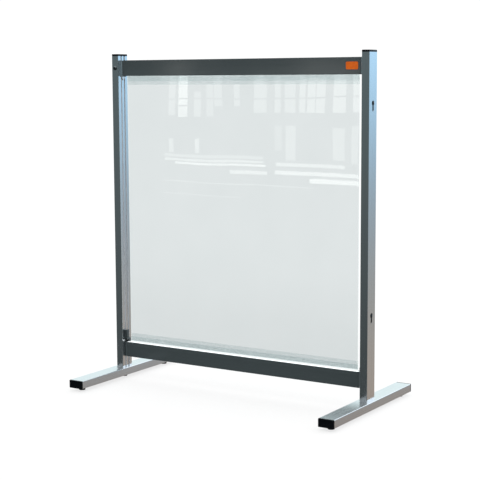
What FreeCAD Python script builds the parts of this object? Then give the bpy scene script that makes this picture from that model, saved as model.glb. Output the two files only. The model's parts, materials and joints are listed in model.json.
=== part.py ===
import FreeCAD, Part
import math
import os

# Free-standing clear screen on two feet, for the front of a serving counter.
# Millimetres. +Z is up, -Y faces the customer, X runs along the counter.
# The origin is the middle of the footprint, on the surface that the screen stands on.
# The frame looks the same after a half turn about Z, so each right-hand piece is
# its left-hand piece turned by 180 degrees.

Vector = FreeCAD.Vector

# ---- driving dimensions ----
SCREEN_WIDTH = 740.0        # over the outer faces of the posts
SCREEN_HEIGHT = 850.0       # from the counter to the top of the post caps
NARROW = 20.0               # narrow side of the one profile size used throughout
WIDE = 40.0                 # wide side of that profile
WALL = 1.6                  # wall of every extrusion
EDGE_RADIUS = 1.5           # rounding along the edges of every extrusion
FOOT_BAR_LENGTH = 400.0
FOOT_CAP_LIP = 4.0
POST_CAP_LIP = 5.0
GLIDE_HEIGHT = 8.0          # gap between the counter and the foot bars
TOP_RAIL_Z = 814.0          # middle of the top rail
BOTTOM_RAIL_Z = 76.7        # middle of the bottom rail
BOTTOM_RAIL_TRAVEL = 10.0   # how far the bottom rail lifts when it is released
GLIDE_TRAVEL = 6.0          # how far a glide screws out

# ---- places that follow from them ----
POST_X = SCREEN_WIDTH / 2 - NARROW / 2
POST_INNER_X = POST_X - NARROW / 2
FOOT_BOTTOM_Z = GLIDE_HEIGHT
FOOT_TOP_Z = GLIDE_HEIGHT + NARROW
POST_TOP_Z = SCREEN_HEIGHT - POST_CAP_LIP

# ---- clearances ----
SLIDE_GAP = 0.3             # between pieces that slide on each other
PLUG_GAP = 0.2              # between a plug and the extrusion it is pushed into
THREAD_GAP = 0.05           # between a screw and its thread

# ---- the channel down the inner face of each post ----
CHANNEL_HALF_OPENING = 9.0
CHANNEL_HALF_WIDTH = 11.5   # under the lips
CHANNEL_LIP = 1.4
CHANNEL_DEPTH = 4.2
CHANNEL_FLOOR = 1.5
CHANNEL_RIB_HALF = 4.0
CHANNEL_RIB_SETBACK = 0.2   # how far the middle rib lies below the post's face

# ---- screw port up the middle of each post ----
PORT_OUTER_RADIUS = 5.75
BOLT_RADIUS = 4.0           # M8
BOLT_LENGTH = 50.0
BOLT_HEAD_FLATS = 13.0
BOLT_HEAD_HEIGHT = 5.3
WASHER_RADIUS = 8.0
WASHER_THICKNESS = 1.6
SPACER_RADIUS = 7.0

# ---- keyholes in the outer face of each post ----
KEYHOLE_HEAD_Z = (728.0, 232.0)
KEYHOLE_HEAD_RADIUS = 6.0
KEYHOLE_SLOT_RADIUS = 3.25
KEYHOLE_DROP = 15.75        # from the head's centre to the slot's end centre

# ---- rails ----
FLANGE = 8.0                # visible thickness of a rail end connector
FLANGE_CORNER = 3.5         # its rounding on the side of the rail's slot
RAIL_HALF_LENGTH = POST_INNER_X - FLANGE
RAIL_LIP = 2.4              # thicker wall beside the rail's slot
RAIL_SLOT_HALF = 2.6
RAIL_WEB = 1.4
PLUG_LENGTH = 22.0
RAIL_SCREW_X = 331.0

# ---- clear film with a welded pocket along its top and bottom ----
FILM_HALF_WIDTH = 336.0
FILM_THICKNESS = 0.6
BATTEN_RADIUS = 3.0
POCKET_INNER_RADIUS = 3.1
POCKET_OUTER_RADIUS = 3.8
HEM_LONG = 22.5             # visible height of the pocket's rear leg
HEM_SHORT = 14.0            # visible height of its front leg

# The pocket's ring rests on the two edges of the rail's slot. The web stands far
# enough beyond it for the bottom rail to lift without reaching the ring.
RING_SEAT = math.sqrt(POCKET_OUTER_RADIUS ** 2 - RAIL_SLOT_HALF ** 2)
RING_GAP = 0.4
RING_TO_MIDDLE = WIDE / 2 - RAIL_LIP - RING_SEAT - RING_GAP
RAIL_WEB_NEAR = BOTTOM_RAIL_TRAVEL + 2.0 + POCKET_OUTER_RADIUS - RING_TO_MIDDLE
RAIL_WEB_FAR = RAIL_WEB_NEAR + RAIL_WEB
TOP_BATTEN_Z = TOP_RAIL_Z - RING_TO_MIDDLE
BOTTOM_BATTEN_Z = BOTTOM_RAIL_Z + RING_TO_MIDDLE

# ---- locking lever on each end of the bottom rail ----
LEVER_PIVOT_Z = 103.5
LEVER_PIVOT_X = POST_INNER_X - SLIDE_GAP - 3.8
LEVER_TOP_Z = 129.0
LEVER_FRONT_Y = -9.7
LEVER_REAR_Y = -1.5
LEVER_LOCK_RADIUS = 3.8
LEVER_RELEASE_RADIUS = 3.0
LEVER_PIN_RADIUS = 2.0

# ---- levelling glides ----
GLIDE_Y = 178.0
GLIDE_PAD_HEIGHT = 6.0
GLIDE_PAD_RADIUS = 8.0
GLIDE_STUD_RADIUS = 3.0     # M6
GLIDE_THREAD_LEFT = 10.0    # thread still held when a glide is screwed right out
INSERT_RADIUS = 5.0
INSERT_FLANGE_RADIUS = 7.0
INSERT_FLANGE = 1.2

# ---- lock screw through the post into the top rail's connector ----
LOCK_SCREW_RADIUS = 3.0     # M6
LOCK_HEAD_RADIUS = 5.25
LOCK_HEAD_HEIGHT = 3.3
LOCK_SCREW_LENGTH = 12.0

# ---- plain plate on the front of the top rail ----
BADGE_X = 320.5
BADGE_WIDTH = 31.5
BADGE_HEIGHT = 17.8
BADGE_THICKNESS = 0.8
BADGE_RADIUS = 3.0


# ---------------------------------------------------------------- helpers
def block(x0, x1, y0, y1, z0, z1):
    """A box from its lowest to its highest corner."""
    return Part.makeBox(x1 - x0, y1 - y0, z1 - z0, Vector(x0, y0, z0))


def rod(radius, start, direction, length):
    return Part.makeCylinder(radius, length, Vector(*start), Vector(*direction))


def tube(outer, inner, start, direction, length):
    return rod(outer, start, direction, length).cut(rod(inner, start, direction, length))


def cone(radius_start, radius_end, start, direction, length):
    return Part.makeCone(radius_start, radius_end, length, Vector(*start), Vector(*direction))


def edges_along(shape, axis):
    """The straight edges of a shape that run along one axis."""
    found = []
    for edge in shape.Edges:
        if edge.Curve.TypeId != "Part::GeomLine":
            continue
        if abs(abs(edge.tangentAt(edge.FirstParameter).dot(axis)) - 1) < 1e-6:
            found.append(edge)
    return found


def rounded_block(x0, x1, y0, y1, z0, z1, axis, radius):
    """A box whose four edges along one axis are rounded."""
    plain = block(x0, x1, y0, y1, z0, z1)
    return plain.makeFillet(radius, edges_along(plain, Vector(*axis)))


def half_turn(shape):
    """The same piece on the other side of the screen."""
    turned = shape.copy()
    turned.rotate(Vector(0, 0, 0), Vector(0, 0, 1), 180)
    return turned


def mirror_front_back(shape):
    return shape.mirror(Vector(0, 0, 0), Vector(0, 1, 0))


def hex_prism(flats, start, direction, length):
    """A hexagonal prism by the distance across its flats."""
    radius = flats / math.sqrt(3)
    corners = []
    for step in range(7):
        angle = math.radians(60 * step)
        corners.append(Vector(radius * math.cos(angle), radius * math.sin(angle), 0))
    prism = Part.Face(Part.makePolygon(corners)).extrude(Vector(0, 0, length))
    turn = FreeCAD.Rotation(Vector(0, 0, 1), Vector(*direction))
    prism.Placement = FreeCAD.Placement(Vector(*start), turn)
    return prism


def joined(first, *others):
    """Several overlapping solids as one."""
    return first.fuse(list(others)).removeSplitter()


def save(name, *solids):
    """Write one sub-part. Identical fasteners are written together."""
    shape = solids[0] if len(solids) == 1 else Part.makeCompound(list(solids))
    for solid in shape.Solids:
        if not solid.isValid() or solid.Volume <= 0:
            raise ValueError(name + " is not a sound solid")
    if len(shape.Solids) != max(1, len(solids)):
        raise ValueError(name + " has %d solids" % len(shape.Solids))
    shape.exportStep(os.path.join("parts", name + ".step"))


# ---------------------------------------------------------------- posts
# The left post is made about its own axis: u is X from the post's middle, towards
# the screen, and the channel opens at u = NARROW / 2.
def post_section_solid(length):
    """The post's extrusion, standing on z = 0 with its axis at x = y = 0."""
    half_n = NARROW / 2
    half_w = WIDE / 2
    outer = rounded_block(-half_n, half_n, -half_w, half_w, 0, length, (0, 0, 1), EDGE_RADIUS)
    floor_face = half_n - CHANNEL_DEPTH
    floor_back = floor_face - CHANNEL_FLOOR
    side = CHANNEL_HALF_WIDTH + CHANNEL_FLOOR
    chamber = block(-half_n + WALL, floor_back, -half_w + WALL, half_w - WALL, 0, length)
    front_pocket = block(floor_back, half_n - WALL, -half_w + WALL, -side, 0, length)
    rear_pocket = block(floor_back, half_n - WALL, side, half_w - WALL, 0, length)
    opening = block(floor_face, half_n, -CHANNEL_HALF_OPENING, CHANNEL_HALF_OPENING, 0, length)
    undercut = block(floor_face, half_n - CHANNEL_LIP,
                     -CHANNEL_HALF_WIDTH, CHANNEL_HALF_WIDTH, 0, length)
    shell = outer.cut([joined(chamber, front_pocket, rear_pocket), opening.fuse(undercut)])
    rib = block(floor_face - 0.5, half_n - CHANNEL_RIB_SETBACK,
                -CHANNEL_RIB_HALF, CHANNEL_RIB_HALF, 0, length)
    port = rod(PORT_OUTER_RADIUS, (0, 0, 0), (0, 0, 1), length)
    port = port.common(block(-half_n, floor_face, -half_w, half_w, 0, length))
    web = block(-half_n + 0.5, -PORT_OUTER_RADIUS + 1, -1.0, 1.0, 0, length)
    solid = joined(shell, rib, port, web)
    return solid.cut(rod(BOLT_RADIUS + THREAD_GAP, (0, 0, 0), (0, 0, 1), length))


def keyhole_cut(head_z):
    """A keyhole through the outer wall, with room behind it for a stud's head."""
    outside = -NARROW / 2 - 1
    depth = 1 + NARROW / 2 - PORT_OUTER_RADIUS
    slot_z = head_z - KEYHOLE_DROP
    head = rod(KEYHOLE_HEAD_RADIUS, (outside, 0, head_z), (1, 0, 0), depth)
    slot_end = rod(KEYHOLE_SLOT_RADIUS, (outside, 0, slot_z), (1, 0, 0), depth)
    slot = block(outside, outside + depth, -KEYHOLE_SLOT_RADIUS, KEYHOLE_SLOT_RADIUS,
                 slot_z, head_z)
    relief = block(-NARROW / 2 + WALL, -PORT_OUTER_RADIUS,
                   -KEYHOLE_HEAD_RADIUS - 0.5, KEYHOLE_HEAD_RADIUS + 0.5,
                   slot_z - KEYHOLE_HEAD_RADIUS - 0.5, head_z + KEYHOLE_HEAD_RADIUS + 0.5)
    return joined(head, slot_end, slot, relief)


LUG_FRONT_Y = -WIDE / 2 + WALL + SLIDE_GAP
LUG_REAR_Y = -7.0
LUG_HALF_HEIGHT = 8.5
KEY_WING_Y = CHANNEL_HALF_WIDTH - SLIDE_GAP


def left_post():
    length = POST_TOP_Z - FOOT_TOP_Z
    post = post_section_solid(length)
    post.translate(Vector(0, 0, FOOT_TOP_Z))
    floor_face = NARROW / 2 - CHANNEL_DEPTH
    lug_window = block(floor_face - CHANNEL_FLOOR - 0.1, floor_face + 0.1,
                       -CHANNEL_HALF_WIDTH, LUG_REAR_Y + SLIDE_GAP,
                       TOP_RAIL_Z - LUG_HALF_HEIGHT - SLIDE_GAP,
                       TOP_RAIL_Z + LUG_HALF_HEIGHT + SLIDE_GAP)
    screw_hole = rod(LOCK_SCREW_RADIUS + 0.25, (0, -WIDE / 2 - 1, TOP_RAIL_Z), (0, 1, 0), 4)
    cuts = [keyhole_cut(head_z) for head_z in KEYHOLE_HEAD_Z]
    post = post.cut(cuts + [lug_window, screw_hole])
    post.translate(Vector(-POST_X, 0, 0))
    return post


def left_post_cap():
    """A thin lid the size of the post, on two hollow plugs beside the screw port."""
    half_n = NARROW / 2
    half_w = WIDE / 2
    lid = rounded_block(-half_n, half_n, -half_w, half_w, 0, POST_CAP_LIP,
                        (0, 0, 1), EDGE_RADIUS)
    top_edges = [edge for edge in lid.Edges if edge.BoundBox.ZMin > POST_CAP_LIP - 0.01]
    lid = lid.makeChamfer(0.6, top_edges)
    inner_u = half_n - CHANNEL_DEPTH - CHANNEL_FLOOR - PLUG_GAP
    outer_u = -half_n + WALL + PLUG_GAP
    far_y = half_w - WALL - PLUG_GAP
    near_y = PORT_OUTER_RADIUS + 0.6
    plug = block(outer_u, inner_u, near_y, far_y, -14, 0.5)
    hollow = block(outer_u + 1.5, inner_u - 1.5, near_y + 1.5, far_y - 1.5, -15, -1)
    plug = plug.cut(hollow)
    cap = joined(lid, plug, mirror_front_back(plug))
    cap.translate(Vector(-POST_X, 0, POST_TOP_Z))
    return cap


# ---------------------------------------------------------------- feet
def left_foot_bar():
    half_length = FOOT_BAR_LENGTH / 2
    x0 = -POST_X - WIDE / 2
    x1 = -POST_X + WIDE / 2
    outer = rounded_block(x0, x1, -half_length, half_length, FOOT_BOTTOM_Z, FOOT_TOP_Z,
                          (0, 1, 0), EDGE_RADIUS)
    hollow = block(x0 + WALL, x1 - WALL, -half_length, half_length,
                   FOOT_BOTTOM_Z + WALL, FOOT_TOP_Z - WALL)
    bolt_hole = rod(BOLT_RADIUS + 0.3, (-POST_X, 0, 0), (0, 0, 1), FOOT_TOP_Z + 1)
    cuts = [hollow, bolt_hole]
    for side in (-1, 1):
        start = (-POST_X, side * GLIDE_Y, FOOT_BOTTOM_Z - 1)
        cuts.append(rod(INSERT_RADIUS + THREAD_GAP, start, (0, 0, 1), WALL + 2))
    return outer.cut(cuts)


def left_foot_front_cap():
    """A lid over the open end of the foot bar, on a hollow plug."""
    end = -FOOT_BAR_LENGTH / 2
    x0 = -POST_X - WIDE / 2
    x1 = -POST_X + WIDE / 2
    lid = rounded_block(x0, x1, end - FOOT_CAP_LIP, end, FOOT_BOTTOM_Z, FOOT_TOP_Z,
                        (0, 1, 0), EDGE_RADIUS)
    outer_edges = [edge for edge in lid.Edges if edge.BoundBox.YMax < end - FOOT_CAP_LIP + 0.01]
    lid = lid.makeChamfer(0.6, outer_edges)
    inset = WALL + PLUG_GAP
    plug = block(x0 + inset, x1 - inset, end - 0.5, end + 14,
                 FOOT_BOTTOM_Z + inset, FOOT_TOP_Z - inset)
    hollow = block(x0 + inset + 1.5, x1 - inset - 1.5, end + 1, end + 15,
                   FOOT_BOTTOM_Z + inset + 1.5, FOOT_TOP_Z - inset - 1.5)
    return joined(lid, plug.cut(hollow))


def glide_insert(x, y):
    """A threaded bush pressed into the underside of the foot bar."""
    top = FOOT_TOP_Z - WALL - 3
    body = rod(INSERT_RADIUS, (x, y, FOOT_BOTTOM_Z - 0.5), (0, 0, 1), top - FOOT_BOTTOM_Z + 0.5)
    flange = rod(INSERT_FLANGE_RADIUS, (x, y, FOOT_BOTTOM_Z - INSERT_FLANGE), (0, 0, 1),
                 INSERT_FLANGE)
    bore = rod(GLIDE_STUD_RADIUS + THREAD_GAP, (x, y, 0), (0, 0, 1), FOOT_TOP_Z)
    return joined(body, flange).cut(bore)


def glide_pad(x, y):
    """A round foot, rounded where it meets the counter, with a hollow for its stud."""
    pad = rod(GLIDE_PAD_RADIUS, (x, y, 0), (0, 0, 1), GLIDE_PAD_HEIGHT)
    bottom = [edge for edge in pad.Edges if edge.BoundBox.ZMax < 0.01]
    pad = pad.makeFillet(1.2, bottom)
    top = [edge for edge in pad.Edges if edge.BoundBox.ZMin > GLIDE_PAD_HEIGHT - 0.01]
    pad = pad.makeChamfer(0.6, top)
    socket = rod(GLIDE_STUD_RADIUS, (x, y, 2), (0, 0, 1), GLIDE_PAD_HEIGHT)
    return pad.cut(socket)


def glide_stud(x, y):
    top = FOOT_BOTTOM_Z + GLIDE_TRAVEL + GLIDE_THREAD_LEFT
    stud = rod(GLIDE_STUD_RADIUS, (x, y, 2), (0, 0, 1), top - 2)
    tip = [edge for edge in stud.Edges if edge.BoundBox.ZMin > top - 0.01]
    return stud.makeChamfer(0.8, tip)


def left_foot_bolt():
    """A hexagon bolt up through the foot bar into the post's screw port."""
    head_top = FOOT_BOTTOM_Z - WASHER_THICKNESS
    head = hex_prism(BOLT_HEAD_FLATS, (-POST_X, 0, head_top - BOLT_HEAD_HEIGHT),
                     (0, 0, 1), BOLT_HEAD_HEIGHT)
    shank = rod(BOLT_RADIUS, (-POST_X, 0, head_top - 0.5), (0, 0, 1), BOLT_LENGTH + 0.5)
    return joined(head, shank)


def left_foot_washer():
    start = (-POST_X, 0, FOOT_BOTTOM_Z - WASHER_THICKNESS)
    return tube(WASHER_RADIUS, BOLT_RADIUS + 0.3, start, (0, 0, 1), WASHER_THICKNESS)


def left_foot_spacer():
    """A sleeve that keeps the bolt from squeezing the hollow foot bar."""
    start = (-POST_X, 0, FOOT_BOTTOM_Z + WALL)
    return tube(SPACER_RADIUS, BOLT_RADIUS + 0.3, start, (0, 0, 1), NARROW - 2 * WALL)


# ---------------------------------------------------------------- rails
# A rail is made with its slot facing down. up = 1 gives the top rail, up = -1 the
# bottom rail, whose slot faces up.
def across(rail_z, up, near, far):
    """Two heights measured from a rail's middle, away from its slot, in order."""
    return sorted((rail_z + up * near, rail_z + up * far))


def rail(rail_z, up):
    half_n = NARROW / 2
    half_w = WIDE / 2
    half = RAIL_HALF_LENGTH
    outer = rounded_block(-half, half, -half_n, half_n, rail_z - half_w, rail_z + half_w,
                          (1, 0, 0), EDGE_RADIUS)
    inner_y = half_n - WALL
    z0, z1 = across(rail_z, up, -half_w + RAIL_LIP, RAIL_WEB_NEAR)
    hem_chamber = block(-half, half, -inner_y, inner_y, z0, z1)
    z0, z1 = across(rail_z, up, RAIL_WEB_FAR, half_w - WALL)
    plug_chamber = block(-half, half, -inner_y, inner_y, z0, z1)
    z0, z1 = across(rail_z, up, -half_w - 1, -half_w + RAIL_LIP + 0.1)
    slot = block(-half, half, -RAIL_SLOT_HALF, RAIL_SLOT_HALF, z0, z1)
    cuts = [hem_chamber, plug_chamber, slot]
    for side in (-1, 1):
        start = (side * RAIL_SCREW_X, 0, rail_z + up * (half_w + 1))
        cuts.append(rod(2.2, start, (0, 0, -up), WALL + 2))
        sink = (side * RAIL_SCREW_X, 0, rail_z + up * half_w)
        cuts.append(cone(4.0, 2.4, sink, (0, 0, -up), WALL))
    return outer.cut(cuts)


def rail_screw(x, rail_z, up):
    """A countersunk screw through the rail's wall into the connector's plug."""
    face = rail_z + up * WIDE / 2
    head = cone(3.8, 2.0, (x, 0, face), (0, 0, -up), WALL)
    shank = rod(2.0, (x, 0, face - up * (WALL - 0.3)), (0, 0, -up), 9)
    recess = hex_prism(2.5, (x, 0, face + up * 0.1), (0, 0, -up), 1.6)
    return joined(head, shank).cut(recess)


def connector_plug(rail_z, up):
    """The hollow plug inside the end of a rail, with a thread for the rail screw."""
    x0 = -RAIL_HALF_LENGTH - 0.5
    x1 = -RAIL_HALF_LENGTH + PLUG_LENGTH
    y = NARROW / 2 - WALL - PLUG_GAP
    z0, z1 = across(rail_z, up, RAIL_WEB_FAR + PLUG_GAP, WIDE / 2 - WALL - PLUG_GAP)
    plug = block(x0, x1, -y, y, z0, z1)
    plug = plug.makeChamfer(0.8, [edge for edge in plug.Edges if edge.BoundBox.XMin > x1 - 0.01])
    front_hollow = block(x0 + 3, x1 + 1, -y + 1.5, -3.6, z0 + 1.5, z1 - 1.5)
    hollows = [front_hollow, mirror_front_back(front_hollow)]
    thread = rod(2.0 + THREAD_GAP, (-RAIL_SCREW_X, 0, z0 - 1), (0, 0, 1), z1 - z0 + 2)
    return plug.cut(hollows + [thread])


def connector_key(z0, z1):
    """The key that fits the post's channel: two legs beside the rib, with wings
    under the channel's lips."""
    face = -POST_INNER_X
    inner = CHANNEL_RIB_HALF + SLIDE_GAP
    leg = block(face - CHANNEL_DEPTH + SLIDE_GAP, face + 1.0,
                inner, CHANNEL_HALF_OPENING - SLIDE_GAP, z0, z1)
    wing = block(face - CHANNEL_DEPTH + SLIDE_GAP, face - CHANNEL_LIP - SLIDE_GAP,
                 inner, KEY_WING_Y, z0, z1)
    rear_leg = joined(leg, wing)
    return rear_leg, mirror_front_back(rear_leg)


def connector_flange(gap, rail_z, up):
    """The visible block between the rail's end and the post. Its corners on the
    slot side are rounder."""
    z0 = rail_z - WIDE / 2 + 0.4
    z1 = rail_z + WIDE / 2 - 0.4
    flange = block(-POST_INNER_X + gap, -RAIL_HALF_LENGTH, -NARROW / 2, NARROW / 2, z0, z1)
    far_side = z1 if up > 0 else z0
    far_edges = [edge for edge in edges_along(flange, Vector(1, 0, 0))
                 if abs(edge.BoundBox.ZMin - far_side) < 0.01]
    flange = flange.makeFillet(EDGE_RADIUS, far_edges)
    slot_side = z0 if up > 0 else z1
    slot_edges = [edge for edge in edges_along(flange, Vector(1, 0, 0))
                  if abs(edge.BoundBox.ZMin - slot_side) < 0.01]
    return flange.makeFillet(FLANGE_CORNER, slot_edges)


def top_left_connector():
    z0 = TOP_RAIL_Z - WIDE / 2 + 0.4
    z1 = TOP_RAIL_Z + WIDE / 2 - 0.4
    flange = connector_flange(0.0, TOP_RAIL_Z, 1)
    rear_leg, front_leg = connector_key(z0, z1)
    face = -POST_INNER_X
    floor_face = face - CHANNEL_DEPTH
    # the lug inside the post's chamber, and its neck through the window in the channel's floor
    lug = block(-POST_X - 4, floor_face - CHANNEL_FLOOR - SLIDE_GAP, LUG_FRONT_Y, LUG_REAR_Y,
                TOP_RAIL_Z - LUG_HALF_HEIGHT, TOP_RAIL_Z + LUG_HALF_HEIGHT)
    neck = block(floor_face - CHANNEL_FLOOR - 1, floor_face + 1, -KEY_WING_Y, LUG_REAR_Y,
                 TOP_RAIL_Z - LUG_HALF_HEIGHT, TOP_RAIL_Z + LUG_HALF_HEIGHT)
    thread = rod(LOCK_SCREW_RADIUS + THREAD_GAP, (-POST_X, -WIDE / 2, TOP_RAIL_Z), (0, 1, 0), 14)
    # the pointed tongue over the channel, below the rail
    tongue_top = z0 + 2
    tip_z = TOP_RAIL_Z - WIDE / 2 - 12
    points = [Vector(face, -9.5, tongue_top), Vector(face, -9.5, z0 - 1),
              Vector(face, 0, tip_z), Vector(face, 9.5, z0 - 1),
              Vector(face, 9.5, tongue_top), Vector(face, -9.5, tongue_top)]
    tongue = Part.Face(Part.makePolygon(points)).extrude(Vector(1.2, 0, 0))
    outer_edges = [edge for edge in tongue.Edges
                   if edge.BoundBox.XMin > face + 1.19 and edge.BoundBox.ZMax < tongue_top - 0.5]
    tongue = tongue.makeChamfer(0.9, outer_edges)
    stop = rod(4.0, (face, 0, z0 + 1.5), (1, 0, 0), FLANGE)
    plug = connector_plug(TOP_RAIL_Z, 1)
    solid = joined(flange, rear_leg, front_leg, lug, neck, tongue, stop, plug)
    return solid.cut(thread)


def bottom_left_connector():
    """Like the top one, but free to slide in the channel. Its ear carries the lever's pin."""
    z0 = BOTTOM_RAIL_Z - WIDE / 2 + 0.4
    z1 = BOTTOM_RAIL_Z + WIDE / 2 - 0.4
    flange = connector_flange(SLIDE_GAP, BOTTOM_RAIL_Z, -1)
    rear_leg, front_leg = connector_key(z0, z1)
    plug = connector_plug(BOTTOM_RAIL_Z, -1)
    ear_radius = FLANGE / 2 - SLIDE_GAP / 2
    ear_x = -RAIL_HALF_LENGTH - ear_radius
    ear_y0 = LEVER_REAR_Y + SLIDE_GAP
    ear = joined(block(ear_x - ear_radius, ear_x + ear_radius, ear_y0, 5, z1 - 2, LEVER_PIVOT_Z),
                 rod(ear_radius, (ear_x, ear_y0, LEVER_PIVOT_Z), (0, 1, 0), 5 - ear_y0))
    pin_bore = rod(LEVER_PIN_RADIUS, (-LEVER_PIVOT_X, -NARROW / 2, LEVER_PIVOT_Z), (0, 1, 0), 13.5)
    return joined(flange, rear_leg, front_leg, plug, ear).cut(pin_bore)


def left_lever_pin():
    start = (-LEVER_PIVOT_X, LEVER_FRONT_Y + 0.3, LEVER_PIVOT_Z)
    end = -NARROW / 2 + 13.5
    pin = rod(LEVER_PIN_RADIUS, start, (0, 1, 0), end - start[1])
    return pin.makeChamfer(0.4, [edge for edge in pin.Edges if edge.BoundBox.YMax < start[1] + 0.01])


def left_lock_lever():
    """A cam lever. Upright, its larger radius bears on the channel's rib. Turned down
    towards the screen, its smaller radius faces the post and the rail is free."""
    x = -LEVER_PIVOT_X
    z = LEVER_PIVOT_Z
    post_side = x - LEVER_LOCK_RADIUS
    rail_side = x + LEVER_LOCK_RADIUS
    corner = 2.5
    diagonal = math.sqrt(0.5)
    cam_reach = 0.94 * LEVER_LOCK_RADIUS * diagonal
    post_top = Vector(post_side, LEVER_FRONT_Y, LEVER_TOP_Z - corner)
    post_corner = Vector(post_side, LEVER_FRONT_Y, z)
    cam_post_mid = Vector(x - cam_reach, LEVER_FRONT_Y, z - cam_reach)
    cam_bottom = Vector(x, LEVER_FRONT_Y, z - LEVER_RELEASE_RADIUS)
    cam_rail_mid = Vector(x + cam_reach, LEVER_FRONT_Y, z - cam_reach)
    rail_corner = Vector(rail_side, LEVER_FRONT_Y, z)
    rail_top = Vector(rail_side, LEVER_FRONT_Y, LEVER_TOP_Z - corner)
    top_rail_side = Vector(rail_side - corner, LEVER_FRONT_Y, LEVER_TOP_Z)
    top_post_side = Vector(post_side + corner, LEVER_FRONT_Y, LEVER_TOP_Z)
    bend = corner * (1 - diagonal)
    top_rail_mid = Vector(rail_side - bend, LEVER_FRONT_Y, LEVER_TOP_Z - bend)
    top_post_mid = Vector(post_side + bend, LEVER_FRONT_Y, LEVER_TOP_Z - bend)
    edges = [Part.makeLine(post_top, post_corner),
             Part.Arc(post_corner, cam_post_mid, cam_bottom).toShape(),
             Part.Arc(cam_bottom, cam_rail_mid, rail_corner).toShape(),
             Part.makeLine(rail_corner, rail_top),
             Part.Arc(rail_top, top_rail_mid, top_rail_side).toShape(),
             Part.makeLine(top_rail_side, top_post_side),
             Part.Arc(top_post_side, top_post_mid, post_top).toShape()]
    face = Part.Face(Part.Wire(edges))
    lever = face.extrude(Vector(0, LEVER_REAR_Y - LEVER_FRONT_Y, 0))
    # a shallow finger hollow down the front of the handle
    hollow = block(post_side + 1.8, rail_side - 1.2, LEVER_FRONT_Y - 1, LEVER_FRONT_Y + 1.2,
                   z + 5.5, LEVER_TOP_Z - 3.0)
    bore = rod(LEVER_PIN_RADIUS + THREAD_GAP, (x, LEVER_FRONT_Y - 1, z), (0, 1, 0), 12)
    return lever.cut([hollow, bore])


def left_lock_screw():
    """A button-head screw with a hexagon socket, from the post's narrow face."""
    face = -WIDE / 2
    head = rod(LOCK_HEAD_RADIUS, (-POST_X, face - LOCK_HEAD_HEIGHT, TOP_RAIL_Z), (0, 1, 0),
               LOCK_HEAD_HEIGHT)
    rim = [edge for edge in head.Edges if edge.BoundBox.YMax < face - LOCK_HEAD_HEIGHT + 0.01]
    head = head.makeFillet(2.2, rim)
    shank = rod(LOCK_SCREW_RADIUS, (-POST_X, face - 1, TOP_RAIL_Z), (0, 1, 0),
                LOCK_SCREW_LENGTH + 1)
    socket = hex_prism(4.0, (-POST_X, face - LOCK_HEAD_HEIGHT - 0.1, TOP_RAIL_Z), (0, 1, 0), 2.2)
    return joined(head, shank).cut(socket)


# ---------------------------------------------------------------- clear film
def clear_film():
    top = TOP_BATTEN_Z - POCKET_OUTER_RADIUS
    bottom = BOTTOM_BATTEN_Z + POCKET_OUTER_RADIUS
    return block(-FILM_HALF_WIDTH, FILM_HALF_WIDTH, -FILM_THICKNESS / 2, FILM_THICKNESS / 2,
                 bottom, top)


def film_pocket(batten_z, rail_edge_z, up):
    """A strip of film folded round the batten and welded to both faces of the screen.
    The leg at the rear is longer."""
    x0 = -FILM_HALF_WIDTH
    width = 2 * FILM_HALF_WIDTH
    inner_y = FILM_THICKNESS / 2
    outer_y = inner_y + FILM_THICKNESS
    ring_foot = batten_z - up * (POCKET_INNER_RADIUS + 0.3)
    rear_z = sorted((rail_edge_z - up * HEM_LONG, ring_foot))
    front_z = sorted((rail_edge_z - up * HEM_SHORT, ring_foot))
    rear_leg = block(x0, x0 + width, inner_y, outer_y, rear_z[0], rear_z[1])
    front_leg = block(x0, x0 + width, -outer_y, -inner_y, front_z[0], front_z[1])
    ring = rod(POCKET_OUTER_RADIUS, (x0, 0, batten_z), (1, 0, 0), width)
    hole = rod(POCKET_INNER_RADIUS, (x0 - 1, 0, batten_z), (1, 0, 0), width + 2)
    return joined(ring, rear_leg, front_leg).cut(hole)


def batten(batten_z):
    return rod(BATTEN_RADIUS, (-FILM_HALF_WIDTH + 2, 0, batten_z), (1, 0, 0),
               2 * FILM_HALF_WIDTH - 4)


# ---------------------------------------------------------------- badge
def rail_badge():
    """A plain plate with a raised rim, stuck to the front of the top rail."""
    face = -NARROW / 2
    x0 = BADGE_X - BADGE_WIDTH / 2
    z0 = TOP_RAIL_Z + 0.4 - BADGE_HEIGHT / 2
    plate = rounded_block(x0, x0 + BADGE_WIDTH, face - BADGE_THICKNESS, face,
                          z0, z0 + BADGE_HEIGHT, (0, 1, 0), BADGE_RADIUS)
    rim = 1.2
    field = rounded_block(x0 + rim, x0 + BADGE_WIDTH - rim,
                          face - BADGE_THICKNESS - 1, face - BADGE_THICKNESS + 0.25,
                          z0 + rim, z0 + BADGE_HEIGHT - rim, (0, 1, 0), BADGE_RADIUS - rim)
    return plate.cut(field)


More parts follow.
